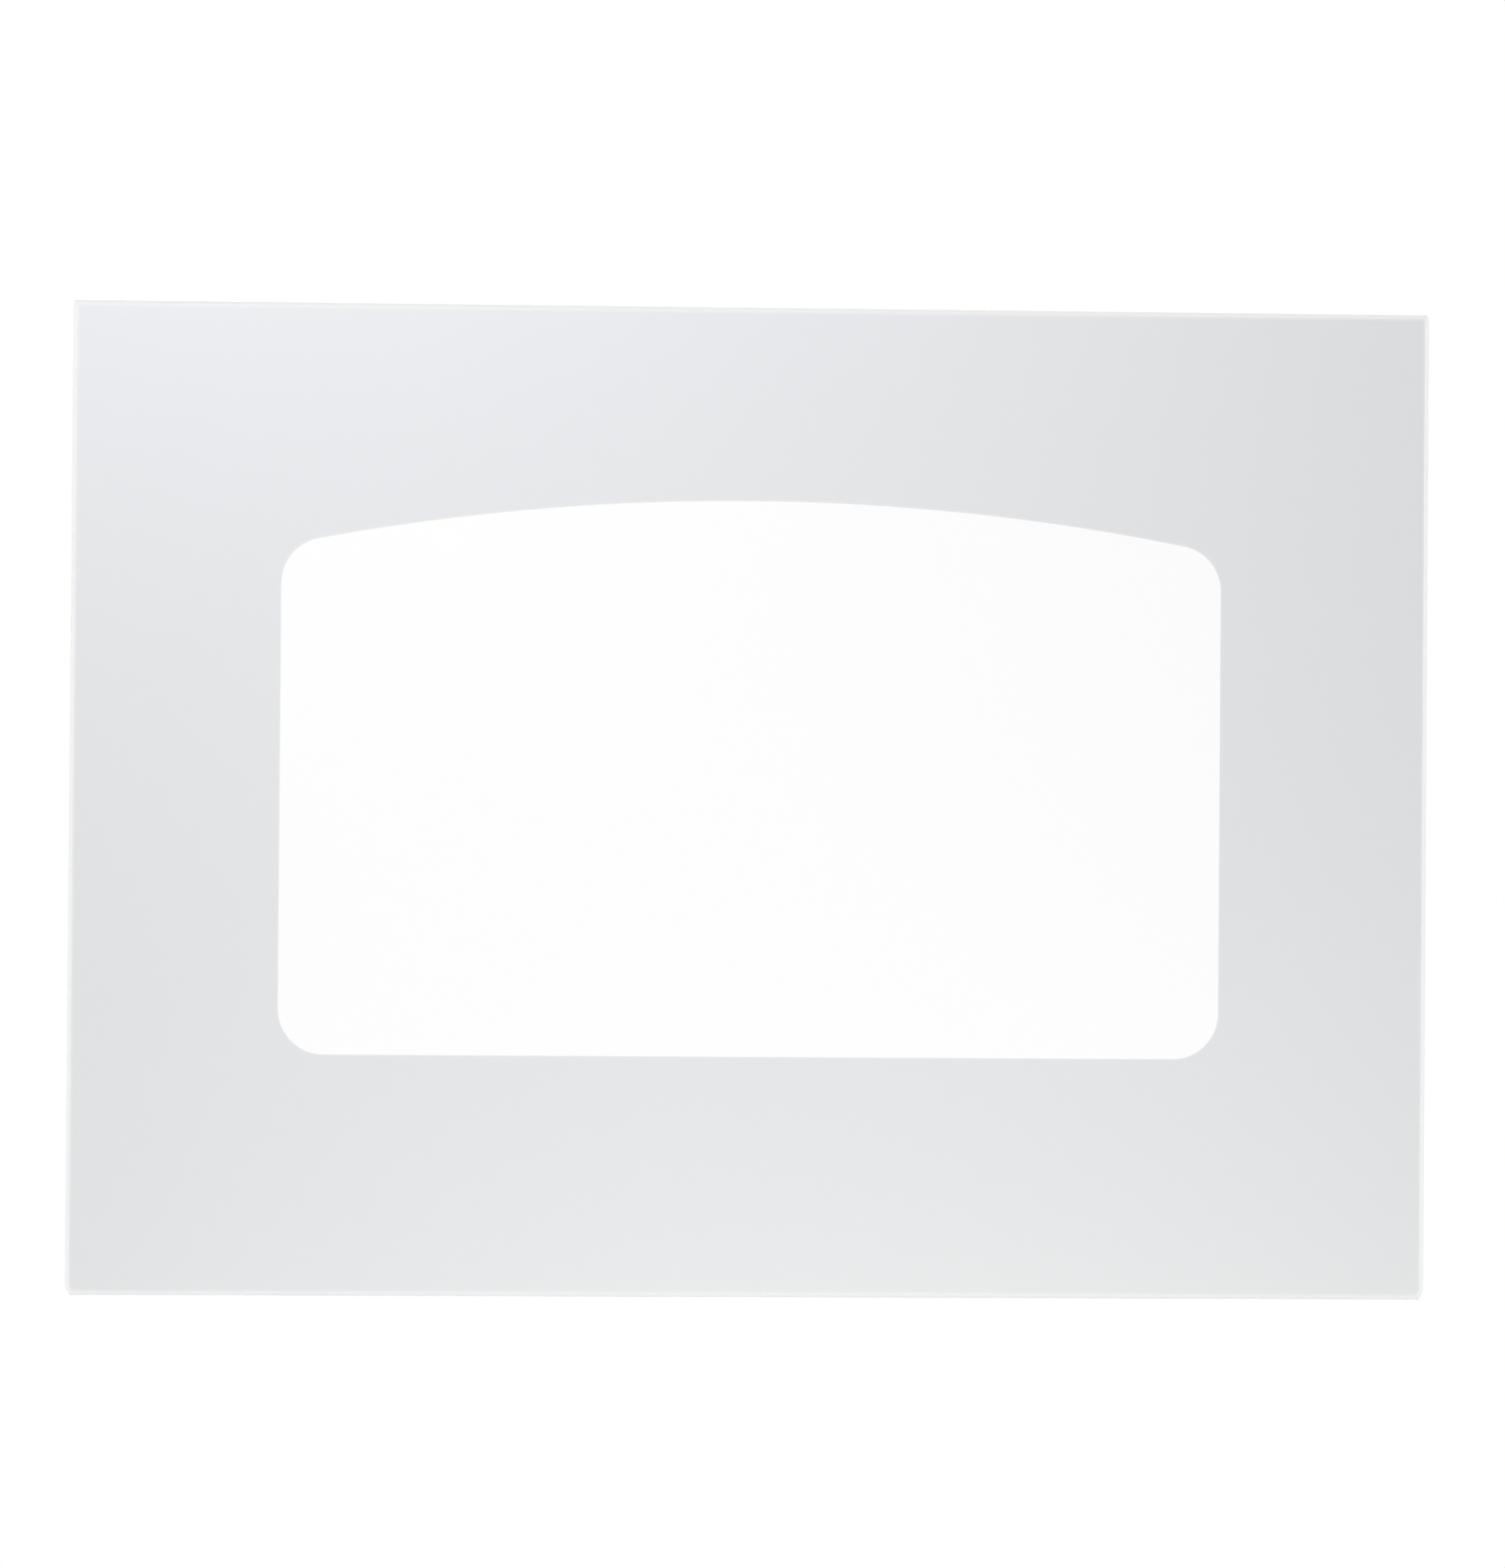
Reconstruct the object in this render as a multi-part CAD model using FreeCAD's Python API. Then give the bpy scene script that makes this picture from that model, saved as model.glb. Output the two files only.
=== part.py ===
import FreeCAD, Part
import math
import os

# Outer door panel of a 30 inch kitchen range: one pane of toughened clear glass,
# with white ceramic enamel screen printed and fired on its back face.
# The enamel is a border round a clear window that has an arched top.
#
# The panel lies flat with its back face down. Millimetres.
# X runs along the width, Y runs towards the panel's top edge, Z is up,
# out of the front face that shows on the oven.
# The origin is under the middle of the pane, on the lowest face.

# Pane
PANEL_WIDTH = 749.3
PANEL_HEIGHT = 546.1
GLASS_THICKNESS = 4.0
# flat strip left along the middle of each ground edge, between its two rounded arrises
EDGE_LAND = 1.2
# corners are ground off straight, a little more at the bottom of the door than at the top
TOP_CUT_X = 1.5
TOP_CUT_Y = 2.0
BOTTOM_CUT_X = 2.9
BOTTOM_CUT_Y = 4.8

# Enamel print
ENAMEL_THICKNESS = 0.05
# clear strip of flat glass between the print and the rounded arris
PRINT_SETBACK = 0.5

# Clear window in the print
WINDOW_WIDTH = 519.2
WINDOW_HEIGHT = 307.0
# from the bottom edge of the pane to the straight bottom of the window
SILL_BORDER = 132.3
ARCH_RADIUS = 1265.0
WINDOW_CORNER_RADIUS = 25.4

# The rounded arrises take what the land leaves of the thickness, half at each face.
ARRIS_RADIUS = (GLASS_THICKNESS - EDGE_LAND) / 2
PRINT_INSET = ARRIS_RADIUS + PRINT_SETBACK
GLASS_BACK_Z = ENAMEL_THICKNESS
SAME_HEIGHT = 1e-6


def point(x, y, z=0.0):
    return FreeCAD.Vector(x, y, z)


def pane_outline(z):
    """Rectangle with its four corners ground off, as a closed wire at height z."""
    side = PANEL_WIDTH / 2
    end = PANEL_HEIGHT / 2
    right_half = [
        point(side - BOTTOM_CUT_X, -end, z),
        point(side, -end + BOTTOM_CUT_Y, z),
        point(side, end - TOP_CUT_Y, z),
        point(side - TOP_CUT_X, end, z),
    ]
    left_half = [point(-p.x, p.y, z) for p in reversed(right_half)]
    corners = right_half + left_half
    return Part.makePolygon(corners + corners[:1])


def lies_flat(edge):
    return abs(edge.Vertexes[0].Z - edge.Vertexes[-1].Z) < SAME_HEIGHT


def glass_pane():
    """Pane with both arrises of its ground edge rounded, all the way round."""
    blank = Part.Face(pane_outline(GLASS_BACK_Z)).extrude(point(0, 0, GLASS_THICKNESS))
    return blank.makeFillet(ARRIS_RADIUS, [e for e in blank.Edges if lies_flat(e)])


def corner_arc(centre, start_angle, end_angle):
    """Arc of the window's corner radius about centre, between two angles in radians."""
    turn = [start_angle, (start_angle + end_angle) / 2, end_angle]
    spots = [
        centre + point(math.cos(a), math.sin(a)) * WINDOW_CORNER_RADIUS for a in turn
    ]
    return Part.Arc(*spots)


def window_outline():
    """Closed wire of the window: straight sill and jambs, shallow arch, rounded corners."""
    jamb = WINDOW_WIDTH / 2
    sill = -PANEL_HEIGHT / 2 + SILL_BORDER
    crown = point(0, sill + WINDOW_HEIGHT)
    arch_centre = crown - point(0, ARCH_RADIUS)

    # A corner circle is inside the arch's circle and touches both it and the jamb.
    corner_x = jamb - WINDOW_CORNER_RADIUS
    reach = ARCH_RADIUS - WINDOW_CORNER_RADIUS
    shoulder_y = arch_centre.y + math.sqrt(reach**2 - corner_x**2)
    lean = math.acos(corner_x / reach)

    right_shoulder = corner_arc(point(corner_x, shoulder_y), 0, lean)
    left_shoulder = corner_arc(point(-corner_x, shoulder_y), math.pi - lean, math.pi)
    foot_y = sill + WINDOW_CORNER_RADIUS
    left_foot = corner_arc(point(-corner_x, foot_y), math.pi, 1.5 * math.pi)
    right_foot = corner_arc(point(corner_x, foot_y), 1.5 * math.pi, 2 * math.pi)
    arch = Part.Arc(right_shoulder.EndPoint, crown, left_shoulder.StartPoint)
    left_jamb = Part.LineSegment(left_shoulder.EndPoint, left_foot.StartPoint)
    sill_line = Part.LineSegment(left_foot.EndPoint, right_foot.StartPoint)
    right_jamb = Part.LineSegment(right_foot.EndPoint, right_shoulder.StartPoint)
    run = [
        right_shoulder,
        arch,
        left_shoulder,
        left_jamb,
        left_foot,
        sill_line,
        right_foot,
        right_jamb,
    ]
    return Part.Wire([piece.toShape() for piece in run])


def enamel_border():
    """Printed layer under the glass: the pane's outline set in, less the window."""
    sheet = Part.Face(pane_outline(0)).makeOffset2D(-PRINT_INSET, join=2)
    printed = sheet.cut(Part.Face(window_outline()))
    return printed.Faces[0].extrude(point(0, 0, ENAMEL_THICKNESS))


def main():
    os.makedirs("parts", exist_ok=True)
    for name, shape in {
        "glass_pane": glass_pane(),
        "enamel_border": enamel_border(),
    }.items():
        shape.exportStep("parts/" + name + ".step")
        size = shape.BoundBox
        print(
            f"{name}: valid {shape.isValid()}, solids {len(shape.Solids)}, faces {len(shape.Faces)},"
            f" {size.XLength:.2f} x {size.YLength:.2f} x {size.ZLength:.3f} mm,"
            f" {shape.Volume / 1000:.2f} cm3"
        )


main()
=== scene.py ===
# Outer door panel of a 30 inch kitchen range, lying front up on a white studio table.
# Metres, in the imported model's frame: X along the panel's width, Y to its top edge,
# Z up out of its front face, with the lowest face at height zero.
import math

import bmesh
import bpy
from mathutils import Matrix, Vector


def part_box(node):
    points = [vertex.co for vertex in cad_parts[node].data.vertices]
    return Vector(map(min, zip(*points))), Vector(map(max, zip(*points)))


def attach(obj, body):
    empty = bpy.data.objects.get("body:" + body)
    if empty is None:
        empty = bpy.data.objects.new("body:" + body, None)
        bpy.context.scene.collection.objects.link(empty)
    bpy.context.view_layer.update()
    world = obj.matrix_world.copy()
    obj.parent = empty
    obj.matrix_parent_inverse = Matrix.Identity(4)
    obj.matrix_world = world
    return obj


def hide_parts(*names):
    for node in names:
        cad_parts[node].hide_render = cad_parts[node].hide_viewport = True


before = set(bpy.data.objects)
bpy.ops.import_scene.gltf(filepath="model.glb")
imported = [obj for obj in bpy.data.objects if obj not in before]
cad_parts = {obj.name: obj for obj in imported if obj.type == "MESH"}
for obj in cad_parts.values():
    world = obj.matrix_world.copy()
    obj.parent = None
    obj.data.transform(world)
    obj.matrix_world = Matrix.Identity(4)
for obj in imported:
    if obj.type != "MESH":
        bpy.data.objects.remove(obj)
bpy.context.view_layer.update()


# Glass pane
# One sheet of clear float glass, cut to size, its four corners ground off and its edge ground
# to a flat strip between two rounded arrises, and then toughened in a roller furnace.
# It has no hole, because the door holds it by its faces and edges.
pane_low, pane_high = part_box("glass_pane")
TOP_CORNER_CUT = (0.0015, 0.0020)
BOTTOM_CORNER_CUT = (0.0029, 0.0048)
ARRIS_RADIUS = 0.0014
ARRIS_STEPS = 10
# the edge's matt finish and its grey, which is partly painted shade, also cover this much of the
# face beside the arris, and then fade over the feather
GROUND_STRIP = 0.0004
GROUND_FEATHER = 0.0003
# the two short edges get less of the edge's matt and grey than the two long ones, whose extra grey
# is painted shade
SHORT_EDGE_SHARE = 0.6
PANE_SMOOTH_ANGLE = math.radians(25)
TINY = 1e-6


def corner_cuts():
    """The four ground-off corners of the pane, each as a point and an outward normal."""
    cuts = []
    for x_sign in (-1, 1):
        for y_sign, (cut_x, cut_y) in ((1, TOP_CORNER_CUT), (-1, BOTTOM_CORNER_CUT)):
            spot = Vector((x_sign * (pane_high.x - cut_x), y_sign * pane_high.y, 0))
            cuts.append((spot, Vector((x_sign * cut_y, y_sign * cut_x, 0)).normalized()))
    return cuts


def cut_along(planes, inset, **how):
    """In edit mode, cuts the mesh along upright planes, each moved inwards by the inset."""
    for spot, outward in planes:
        bpy.ops.mesh.select_all(action="SELECT")
        bpy.ops.mesh.bisect(
            plane_co=spot - outward * inset, plane_no=outward, threshold=TINY, **how
        )


def choose(kind, wanted):
    """In edit mode, selects only the edges or faces that wanted says yes to."""
    bpy.ops.mesh.select_mode(type=kind)
    bpy.ops.mesh.select_all(action="DESELECT")
    shape = bmesh.from_edit_mesh(bpy.context.object.data)
    for part in shape.edges if kind == "EDGE" else shape.faces:
        part.select_set(bool(wanted(part)))
    bmesh.update_edit_mesh(bpy.context.object.data)


def grind_and_shade_of(vertex):
    """0 on the two polished faces, which are left selected, and more on the ground edge, most on
    the long edges, whose extra grey is painted shade.
    """
    if vertex.select:
        return 0.0
    on_short_edge = pane_high.x - abs(vertex.co.x) < pane_high.y - abs(vertex.co.y)
    return SHORT_EDGE_SHARE if on_short_edge else 1.0


bpy.ops.object.select_all(action="DESELECT")
bpy.ops.mesh.primitive_cube_add(
    size=1, location=(pane_low + pane_high) / 2, scale=pane_high - pane_low
)
pane = bpy.context.object
pane.name = "toughened_pane"
bpy.ops.object.transform_apply(location=True, rotation=True, scale=True)
bpy.ops.object.mode_set(mode="EDIT")
cut_along(corner_cuts(), 0, use_fill=True, clear_outer=True)
choose("EDGE", lambda e: abs(e.verts[0].co.z - e.verts[1].co.z) < TINY)
bpy.ops.mesh.bevel(offset=ARRIS_RADIUS, segments=ARRIS_STEPS, affect="EDGES")
choose("FACE", lambda f: abs(f.normal.z) > 1 - TINY)
bpy.ops.mesh.inset(thickness=GROUND_STRIP, depth=0)
bpy.ops.mesh.inset(thickness=GROUND_FEATHER, depth=0)
bpy.ops.object.mode_set(mode="OBJECT")
bpy.ops.object.shade_smooth_by_angle(angle=PANE_SMOOTH_ANGLE)
# the marks carry the edge's grind, and its painted shade, most on the long edges
grind_and_shade_marks = pane.data.attributes.new("grind_and_shade", "FLOAT", "POINT")
grind_and_shade_marks.data.foreach_set("value", [grind_and_shade_of(v) for v in pane.data.vertices])


class Wire:
    """One output of a shader node. Python's arithmetic on it adds Math nodes."""

    def __init__(self, nodes, socket):
        self.nodes = nodes
        self.socket = socket

    def math(self, operation, first, second):
        return self.nodes.add("Math", {"operation": operation}, {0: first, 1: second})

    def __add__(self, other):
        return self.math("ADD", self, other)

    def __radd__(self, other):
        return self.math("ADD", other, self)

    def __rsub__(self, other):
        return self.math("SUBTRACT", other, self)

    def __mul__(self, other):
        return self.math("MULTIPLY", self, other)

    def __rmul__(self, other):
        return self.math("MULTIPLY", other, self)


class Nodes:
    """The shader nodes of a material or of the world."""

    def __init__(self, owner):
        owner.use_nodes = True
        self.tree = owner.node_tree
        self.tree.nodes.clear()

    def add(self, kind, settings, sockets, output=0):
        """Adds a node, makes its settings, fills its sockets with values or wires, gives a wire."""
        node = self.tree.nodes.new("ShaderNode" + kind)
        for name, value in settings.items():
            setattr(node, name, value)
        for name, value in sockets.items():
            if isinstance(value, Wire):
                self.tree.links.new(value.socket, node.inputs[name])
            else:
                node.inputs[name].default_value = value
        return Wire(self, node.outputs[output]) if node.outputs else None


# Clear soda-lime glass takes a little red and blue from light that goes through it, which shows
# where the way is long, in the ground edge. Each face lets nearly 96% through.
GLASS_COLOUR = (0.40, 0.76, 0.62, 1)
GLASS_DENSITY = 4.0
GLASS_IOR = 1.52
FACE_PASSES = 0.957
POLISHED_CLEAR = (1, 1, 1, 1)
# the ground edge's grey is partly its own frosting and partly painted shade, the table's shadow
# seen through the rim
GROUND_GREY_AND_SHADE = (0.82, 0.82, 0.82, 1)
# places of the Mix node's colour sockets
COLOUR_A = 6
COLOUR_B = 7
COLOUR_RESULT = 2

# One material covers the whole sheet, so that light that comes in by a face can leave by the edge.
# The furnace rollers leave waves about 80 mm apart and a hundredth of a millimetre high in the
# faces, which keep faint marks of wiping too.
ROLLER_SCALE = 4.0
ROLLER_UNEVENNESS = 1.2
ROLLER_HEIGHT = 0.3
WIPING_SCALE = 9.0
WIPED_ROUGHNESS = 0.02
# The diamond wheel leaves a matt grain on the edge, and fine lines that run along it.
LINES_SCALE = (40, 40, 9000)
LINES_SHARE = 0.6
GRAIN_SCALE = 5200.0
GROUND_ROUGHNESS = 0.34
LINES_ROUGHNESS = 0.26
RELIEF_STRENGTH = 0.35
RELIEF_HEIGHT = 0.00006

glass = bpy.data.materials.new("toughened_glass")
face = Nodes(glass)
place = face.add("TexCoord", {}, {}, "Object")
grind_and_shade = face.add("Attribute", {"attribute_name": "grind_and_shade"}, {}, "Fac")
polished = 1 - grind_and_shade
rollers = face.add(
    "TexWave",
    {"wave_type": "BANDS", "bands_direction": "Y"},
    {
        "Vector": place,
        "Scale": ROLLER_SCALE,
        "Distortion": ROLLER_UNEVENNESS,
        "Detail": 1.0,
        "Detail Scale": 0.6,
    },
    "Fac",
)
wiped = face.add("TexNoise", {}, {"Vector": place, "Scale": WIPING_SCALE, "Detail": 4.0}, "Fac")
along = face.add("Mapping", {}, {"Vector": place, "Scale": LINES_SCALE})
lines = face.add("TexNoise", {}, {"Vector": along, "Scale": 1.0, "Detail": 3.0}, "Fac")
grain = face.add("TexNoise", {}, {"Vector": place, "Scale": GRAIN_SCALE, "Detail": 2.0}, "Fac")
wheel_marks = LINES_SHARE * lines + (1 - LINES_SHARE) * grain
relief = face.add(
    "Bump",
    {},
    {
        "Strength": RELIEF_STRENGTH,
        "Distance": RELIEF_HEIGHT,
        "Height": grind_and_shade * wheel_marks + polished * (ROLLER_HEIGHT * rollers),
    },
)
# the edge's grey mixed in here is partly painted shade, the table's shadow seen through the rim
tint = face.add(
    "Mix",
    {"data_type": "RGBA"},
    {0: grind_and_shade, COLOUR_A: POLISHED_CLEAR, COLOUR_B: GROUND_GREY_AND_SHADE},
    COLOUR_RESULT,
)
matt = GROUND_ROUGHNESS + LINES_ROUGHNESS * lines
seen = face.add(
    "BsdfPrincipled",
    {},
    {
        "Base Color": tint,
        "Transmission Weight": 1,
        "IOR": GLASS_IOR,
        "Roughness": grind_and_shade * matt + polished * (WIPED_ROUGHNESS * wiped),
        "Normal": relief,
    },
)
# Light of the lamps and of matt things goes straight through.
passed = face.add("BsdfTransparent", {}, {"Color": (FACE_PASSES, FACE_PASSES, FACE_PASSES, 1)})
surface = seen
for ray in ("Is Diffuse Ray", "Is Shadow Ray"):
    passes = face.add("LightPath", {}, {}, ray)
    surface = face.add("MixShader", {}, {0: passes, 1: surface, 2: passed})
inside = face.add("VolumeAbsorption", {}, {"Color": GLASS_COLOUR, "Density": GLASS_DENSITY})
face.add("OutputMaterial", {}, {"Surface": surface, "Volume": inside})

pane.data.materials.append(glass)
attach(pane, "root")
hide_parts("glass_pane")


# Enamel border
# White ceramic enamel, screen printed on the back of the pane before toughening and fused to it in
# the furnace. It stops short of the ground edge, and leaves a clear window with an arched top.
_, border_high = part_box("enamel_border")
WINDOW_WIDTH = 0.5192
WINDOW_HEIGHT = 0.307
SILL_BORDER = 0.1323
ARCH_RADIUS = 1.265
WINDOW_CORNER_RADIUS = 0.0254
PRINT_INSET = pane_high.x - border_high.x
# the print is bedded this far into the glass, so that no mirror of air lies between them
BEDDED = 0.00001
# the print gets thinner and paler towards its edges over this width, and less so round the window;
# the paleness is partly painted light
THIN_AND_LIT_EDGE = 0.0016
WINDOW_EDGE_SHARE = 0.35
ARCH_STEPS = 72
CORNER_STEPS = 24
# the sheet is made this wide all round the window before it is cut to the print's outline
OVERSIZE = 0.4
# points closer than this, where two cuts meet, are made one
SLIVER = 0.00002
PRINT_SMOOTH_ANGLE = math.radians(30)
QUARTER_TURN = math.pi / 2

jamb_x = WINDOW_WIDTH / 2
sill_y = pane_low.y + SILL_BORDER
crown_y = sill_y + WINDOW_HEIGHT
corner_x = jamb_x - WINDOW_CORNER_RADIUS
foot_y = sill_y + WINDOW_CORNER_RADIUS
arch_centre_y = crown_y - ARCH_RADIUS
# a shoulder's circle touches the arch's circle from inside, and the jamb
shoulder_reach = ARCH_RADIUS - WINDOW_CORNER_RADIUS
half_arch = math.asin(corner_x / shoulder_reach)
shoulder_y = arch_centre_y + shoulder_reach * math.cos(half_arch)
shoulder_turn = QUARTER_TURN - half_arch


def turn_round(x, y, angle, steps):
    """In edit mode, grows the sheet from its selected end, to the left round a point."""
    bpy.ops.mesh.spin(steps=steps, angle=angle, center=(x, y, 0), axis=(0, 0, -1))


def push(y):
    """In edit mode, grows the sheet from its selected end, straight along a jamb."""
    bpy.ops.mesh.extrude_region_move(TRANSFORM_OT_translate={"value": (0, y, 0)})


def sides():
    """The four sides of the pane, each as a point and an outward normal."""
    ways = [Vector(way) for way in ((1, 0, 0), (-1, 0, 0), (0, 1, 0), (0, -1, 0))]
    return [(Vector((way.x * pane_high.x, way.y * pane_high.y, 0)), way) for way in ways]


# The sheet starts as the strip under the sill, from the window's edge out past the pane's.
# Its right end then goes once round the window, always square to the window's edge.
bpy.ops.object.select_all(action="DESELECT")
print_thickness = border_high.z + BEDDED
bpy.ops.mesh.primitive_plane_add(size=1, location=(0, sill_y - OVERSIZE / 2, print_thickness / 2))
border = bpy.context.object
border.name = "fired_border"
border.scale = (2 * corner_x, OVERSIZE, 1)
bpy.ops.object.transform_apply(location=True, rotation=True, scale=True)
bpy.ops.object.mode_set(mode="EDIT")
bpy.ops.mesh.select_all(action="SELECT")
bpy.ops.mesh.bisect(plane_co=(0, sill_y - THIN_AND_LIT_EDGE, 0), plane_no=(0, 1, 0), threshold=TINY)
choose("EDGE", lambda e: min(v.co.x for v in e.verts) > corner_x - TINY)
turn_round(corner_x, foot_y, QUARTER_TURN, CORNER_STEPS)
push(shoulder_y - foot_y)
turn_round(corner_x, shoulder_y, shoulder_turn, CORNER_STEPS)
turn_round(0, arch_centre_y, 2 * half_arch, ARCH_STEPS)
turn_round(-corner_x, shoulder_y, shoulder_turn, CORNER_STEPS)
push(foot_y - shoulder_y)
turn_round(-corner_x, foot_y, QUARTER_TURN, CORNER_STEPS)
bpy.ops.mesh.select_all(action="SELECT")
bpy.ops.mesh.remove_doubles(threshold=TINY)
bpy.ops.mesh.normals_make_consistent(inside=False)
cut_along(sides() + corner_cuts(), PRINT_INSET, clear_outer=True)
cut_along(sides(), PRINT_INSET + THIN_AND_LIT_EDGE)
bpy.ops.mesh.select_all(action="SELECT")
bpy.ops.mesh.remove_doubles(threshold=SLIVER)
bpy.ops.object.mode_set(mode="OBJECT")

# The print's edges are marked as thin, and as taking painted light, before the sheet gets its
# thickness.
shape = bmesh.new()
shape.from_mesh(border.data)
edge_marks = [float(v.is_boundary) for v in shape.verts]
for index, vertex in enumerate(shape.verts):
    if abs(vertex.co.x) < jamb_x + TINY and sill_y - TINY < vertex.co.y < crown_y + TINY:
        edge_marks[index] *= WINDOW_EDGE_SHARE
shape.free()
thin_and_lit_marks = border.data.attributes.new("thin_and_lit_print", "FLOAT", "POINT")
thin_and_lit_marks.data.foreach_set("value", edge_marks)
printed = border.modifiers.new("print", "SOLIDIFY")
printed.thickness = print_thickness
printed.offset = 0
bpy.ops.object.modifier_apply(modifier=printed.name)
bpy.ops.object.shade_smooth_by_angle(angle=PRINT_SMOOTH_ANGLE)

# The colour is clouded a little by the screen and the furnace, and paler where the print gets thin,
# partly as painted light.
ENAMEL_WHITE = (0.842, 0.844, 0.860, 1)
ENAMEL_CLOUD = (0.827, 0.832, 0.851, 1)
# the pale thin edge is partly painted light, the glow of the clear edge and window on the print
ENAMEL_THIN_AND_LIT = (0.90, 0.90, 0.90, 1)
CLOUD_SCALE = 6.0
CLOUD_SHARE = 0.6
SPECKLE_SCALE = 900.0
# In front the enamel is fused to the glass and has next to no gloss of its own, and behind it is
# satin, like an eggshell.
FUSED_ROUGHNESS = 0.6
FUSED_SPECKLE = 0.1
FUSED_SPECULAR = 0.2
BARE_ROUGHNESS = 0.38
BARE_PEEL = 0.2
BARE_SPECULAR = 0.5
PEEL_SCALE = 1500.0
PEEL_STRENGTH = 0.5
PEEL_HEIGHT = 0.00004


def enamel(name, bare):
    """Fired white enamel, either bare or seen through the glass that it is fused to."""
    finish = bpy.data.materials.new(name)
    face = Nodes(finish)
    place = face.add("TexCoord", {}, {}, "Object")
    clouds = face.add("TexNoise", {}, {"Vector": place, "Scale": CLOUD_SCALE, "Detail": 1.0}, "Fac")
    speckle = face.add(
        "TexNoise", {}, {"Vector": place, "Scale": SPECKLE_SCALE, "Detail": 1.0}, "Fac"
    )
    thin_and_lit = face.add("Attribute", {"attribute_name": "thin_and_lit_print"}, {}, "Fac")
    cloudy = CLOUD_SHARE * clouds + (1 - CLOUD_SHARE) * speckle
    colour = ENAMEL_WHITE
    # the pale thin edge mixed in here is partly painted light
    for share, other_colour in ((cloudy, ENAMEL_CLOUD), (thin_and_lit, ENAMEL_THIN_AND_LIT)):
        mixed = {0: share, COLOUR_A: colour, COLOUR_B: other_colour}
        colour = face.add("Mix", {"data_type": "RGBA"}, mixed, COLOUR_RESULT)
    look = {"Base Color": colour}
    if bare:
        peel = face.add(
            "TexNoise", {}, {"Vector": place, "Scale": PEEL_SCALE, "Detail": 2.0}, "Fac"
        )
        relief = {"Strength": PEEL_STRENGTH, "Distance": PEEL_HEIGHT, "Height": peel}
        look["Roughness"] = BARE_ROUGHNESS + BARE_PEEL * peel
        look["Specular IOR Level"] = BARE_SPECULAR
        look["Normal"] = face.add("Bump", {}, relief)
    else:
        look["Roughness"] = FUSED_ROUGHNESS + FUSED_SPECKLE * speckle
        look["Specular IOR Level"] = FUSED_SPECULAR
    face.add("OutputMaterial", {}, {"Surface": face.add("BsdfPrincipled", {}, look)})
    return finish


border.data.materials.append(enamel("enamel_under_glass", bare=False))
border.data.materials.append(enamel("bare_enamel", bare=True))
for side in border.data.polygons:
    side.material_index = 0 if side.normal.z > 1 - TINY else 1
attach(border, "root")
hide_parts("enamel_border")


# Table
# A white painted table runs into the white room with no seam. Only the part of it round the panel
# takes light and shadow from the lamps, and the rest glows plain white.
TABLE_GAP = 0.00005
# the rest reaches this many times as far as the lit part
TABLE_GROWTH = 14.0
LIT_MARGIN = 0.04
LIT_SHARE = 0.3
LIT_GLOW = 0.745
WHITE = (1, 1, 1, 1)
# a shade warmer under the glass, to make up for its faint green
WARM_WHITE = (1, 0.987, 0.993, 1)


def table_paint(name, lit_share, glow, glow_colour):
    """White paint for the eye and for shadows that fall on it. The room's light goes through it."""
    paint = bpy.data.materials.new(name)
    face = Nodes(paint)
    lit = face.add("BsdfDiffuse", {}, {"Color": (lit_share, lit_share, lit_share, 1)})
    glowing = face.add("Emission", {}, {"Color": glow_colour, "Strength": glow})
    surface = face.add("AddShader", {}, {0: lit, 1: glowing}) if lit_share else glowing
    clear = face.add("BsdfTransparent", {}, {})
    diffuse_ray = face.add("LightPath", {}, {}, "Is Diffuse Ray")
    shadow_ray = face.add("LightPath", {}, {}, "Is Shadow Ray")
    from_below = face.add("NewGeometry", {}, {}, "Backfacing")
    for passes in (diffuse_ray, shadow_ray, from_below):
        surface = face.add("MixShader", {}, {0: passes, 1: surface, 2: clear})
    face.add("OutputMaterial", {}, {"Surface": surface})
    return paint


bpy.ops.object.select_all(action="DESELECT")
bpy.ops.mesh.primitive_plane_add(size=1, location=(0, 0, -TABLE_GAP))
table = bpy.context.object
table.name = "white_table"
table.scale = (2 * (pane_high.x + LIT_MARGIN), 2 * (pane_high.y + LIT_MARGIN), 1)
bpy.ops.object.transform_apply(location=True, rotation=True, scale=True)
bpy.ops.object.mode_set(mode="EDIT")
bpy.ops.mesh.select_mode(type="EDGE")
bpy.ops.mesh.select_all(action="SELECT")
bpy.ops.mesh.extrude_edges_move()
bpy.ops.transform.resize(value=(TABLE_GROWTH, TABLE_GROWTH, 1))
bpy.ops.object.mode_set(mode="OBJECT")
table.data.materials.append(table_paint("lit_white_paint", LIT_SHARE, LIT_GLOW, WARM_WHITE))
table.data.materials.append(table_paint("white_paint", 0, 1.0, WHITE))
for side in table.data.polygons:
    side.material_index = 0 if side.center.length < LIT_MARGIN else 1


# Room
# The eye sees the room as white. It gives less light from above, where the lamps are, than from
# below, and the glass mirrors a grey ceiling that gets darker towards the panel's top right.
ROOM_LIGHT = 0.45
LIGHT_FROM_BELOW = 0.9
CEILING = 0.58
DARK_CEILING = 0.3
HORIZON = 0.8
TOP_RIGHT = (0.6, 0.8, 0)
# how far a direction leans to the top right where the ceiling starts and stops getting darker
DARKENING = (0.03, 0.16)
# how far up it points overhead and at the walls, and level and just below
DOWN_TO_WALLS = (0.9, 0.3)
BELOW_LEVEL = (0, -0.05)
world = bpy.data.worlds.new("white_room")
bpy.context.scene.world = world
room = Nodes(world)


def slide(value, span, first, last):
    """Goes from the first figure to the last while the value goes over the span."""
    ends = {"From Min": span[0], "From Max": span[1], "To Min": first, "To Max": last}
    return room.add("MapRange", {}, {"Value": value, **ends})


def shine(strength):
    """Plain white light from the whole room."""
    return room.add("Background", {}, {"Color": WHITE, "Strength": strength})


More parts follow.
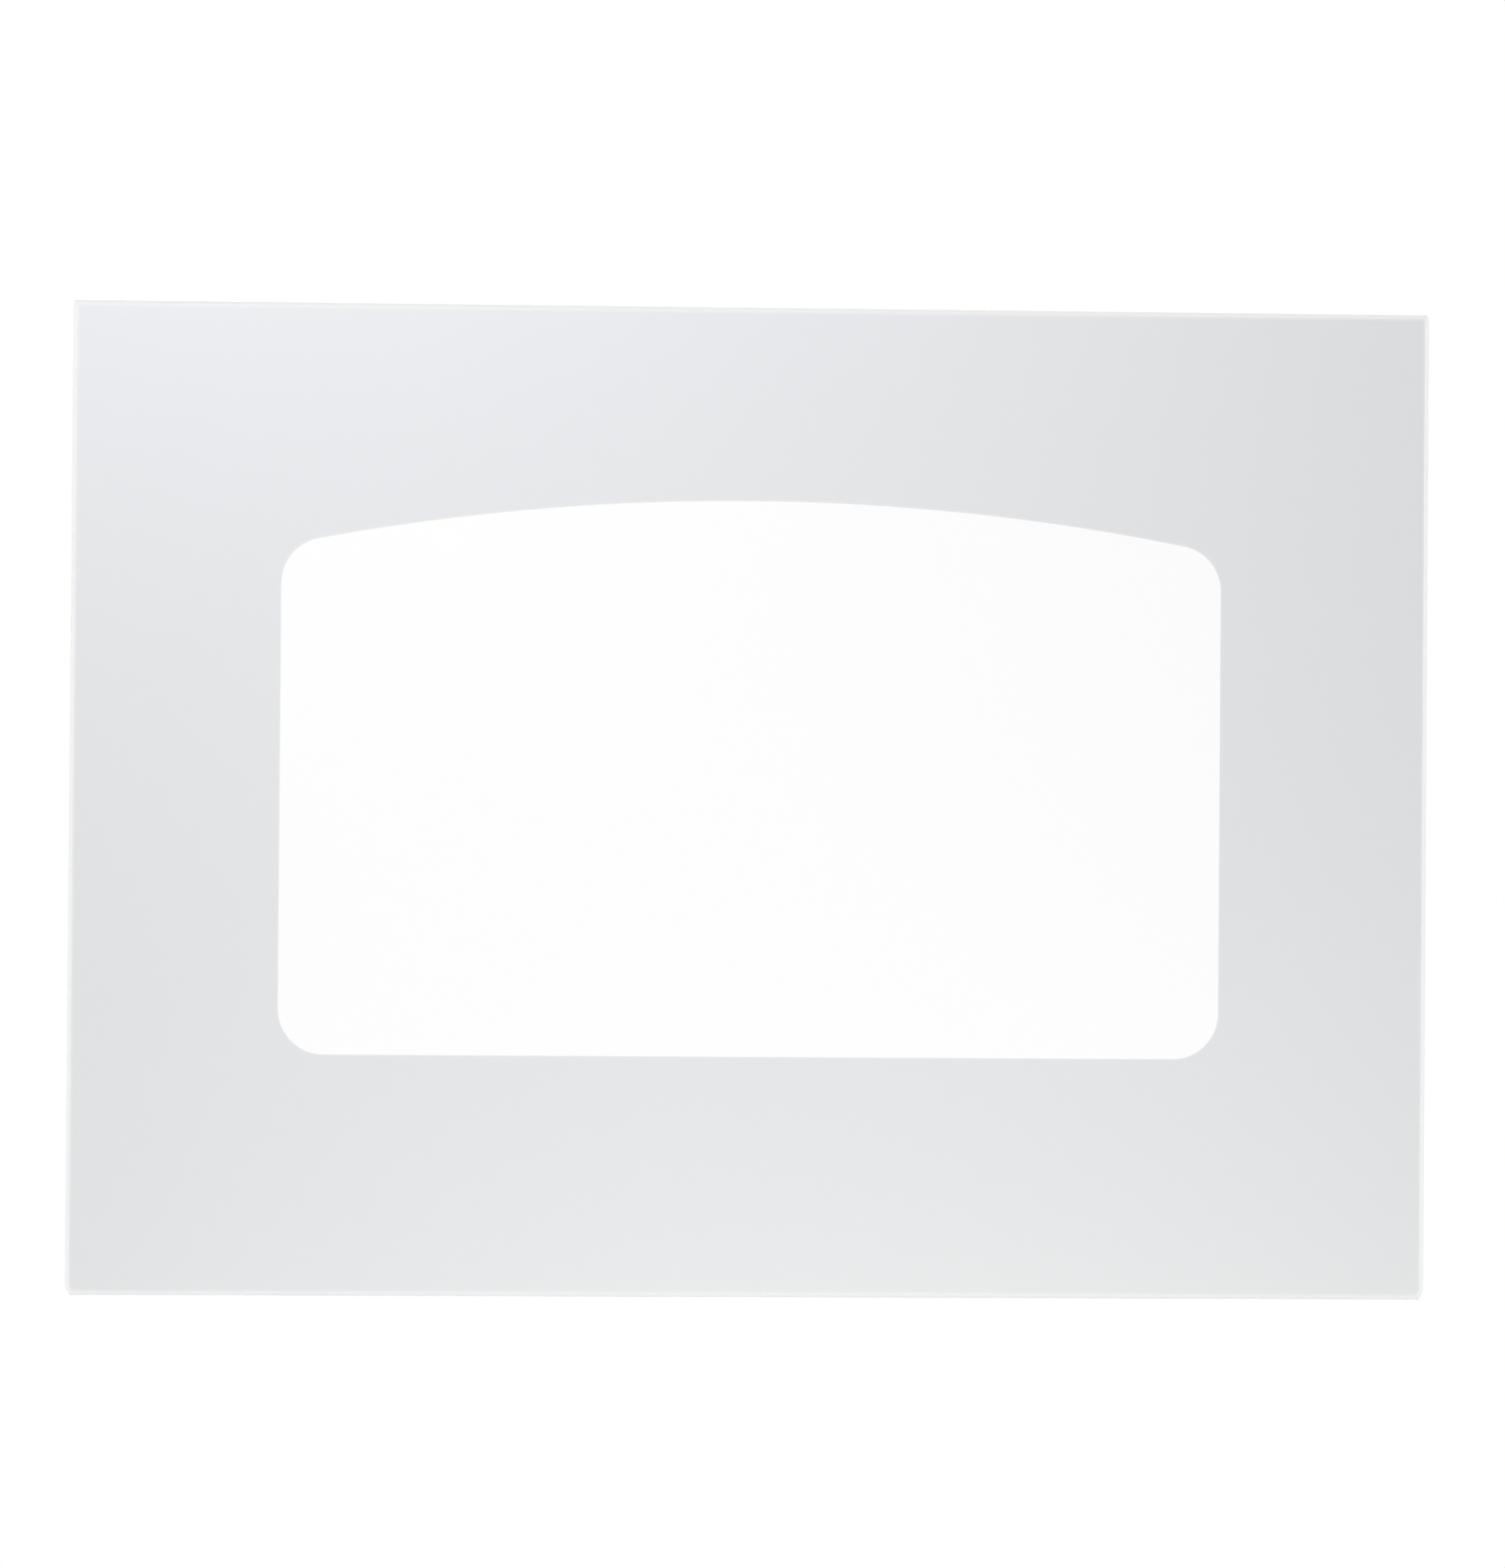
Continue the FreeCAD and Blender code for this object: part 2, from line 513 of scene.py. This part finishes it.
way = room.add("TexCoord", {}, {}, "Generated")
up = room.add("SeparateXYZ", {}, {0: way}, "Z")
aside = room.add("VectorMath", {"operation": "DOT_PRODUCT"}, {0: way, 1: TOP_RIGHT}, "Value")
overhead = slide(aside, DARKENING, CEILING, DARK_CEILING)
mirrored = shine(slide(up, DOWN_TO_WALLS, overhead, HORIZON))
white = shine(1.0)
light = shine(slide(up, BELOW_LEVEL, ROOM_LIGHT, LIGHT_FROM_BELOW))
# a ray that has gone through the glass counts as a glossy one too, so its white is mixed in last
views = (("Is Glossy Ray", mirrored), ("Is Camera Ray", white), ("Is Transmission Ray", white))
for ray, shown in views:
    light = room.add("MixShader", {}, {0: room.add("LightPath", {}, {}, ray), 1: light, 2: shown})
room.add("OutputWorld", {}, {"Surface": light})


# Lamps
# Two soft boxes hang high over the top and bottom edges of the panel, and two low down beside them.
# The light from the top is a shade bluer than the light from the bottom.
TOP_COLOUR = (0.96, 0.96, 1.0)
BOTTOM_COLOUR = (1.0, 1.0, 0.95)


def soft_box(name, colour, place, size, watts):
    """A square soft box that hangs level, facing down. Only matt things show its light."""
    lamp = bpy.data.lights.new(name, "AREA")
    lamp.size = size
    lamp.color = colour
    lamp.energy = watts
    box = bpy.data.objects.new(name, lamp)
    box.location = place
    box.visible_camera = False
    box.visible_glossy = False
    box.visible_transmission = False
    bpy.context.scene.collection.objects.link(box)


soft_box("top_box", TOP_COLOUR, (-0.2, 0.8, 1.5), size=0.5, watts=11.7)
soft_box("bottom_box", BOTTOM_COLOUR, (0.2, -0.8, 1.2), size=0.5, watts=4.9)
soft_box("low_top_box", TOP_COLOUR, (-0.4, 0.8, 0.5), size=0.5, watts=1.6)
soft_box("low_bottom_box", BOTTOM_COLOUR, (0.0, -1.0, 0.5), size=0.8, watts=3.0)


# Camera
# It looks down on the panel from straight above, turned by the small angles that the
# photograph's slightly uneven outline gives.
CAMERA_HEIGHT = 2.2
# the panel's middle is this far from the middle of what the camera sees
PANEL_ASIDE = (-0.0006, -0.0099)
CAMERA_YAW = math.radians(1.87)
CAMERA_PITCH = math.radians(-0.516)
CAMERA_ROLL = math.radians(-0.431)
LENS_LENGTH = 91.6
SENSOR_WIDTH = 36
lens = bpy.data.cameras.new("camera")
lens.lens = LENS_LENGTH
lens.sensor_width = SENSOR_WIDTH
camera = bpy.data.objects.new("camera", lens)
bpy.context.scene.collection.objects.link(camera)
panel_to_camera = (
    Matrix.Rotation(CAMERA_ROLL, 3, "Z")
    @ Matrix.Rotation(CAMERA_PITCH, 3, "X")
    @ Matrix.Rotation(CAMERA_YAW, 3, "Y")
)
turned_back = panel_to_camera.transposed()
spot = turned_back @ Vector((-PANEL_ASIDE[0], -PANEL_ASIDE[1], CAMERA_HEIGHT))
spot.z += pane_high.z
camera.matrix_world = Matrix.Translation(spot) @ turned_back.to_4x4()
bpy.context.scene.camera = camera
bpy.context.scene.view_settings.view_transform = "Standard"
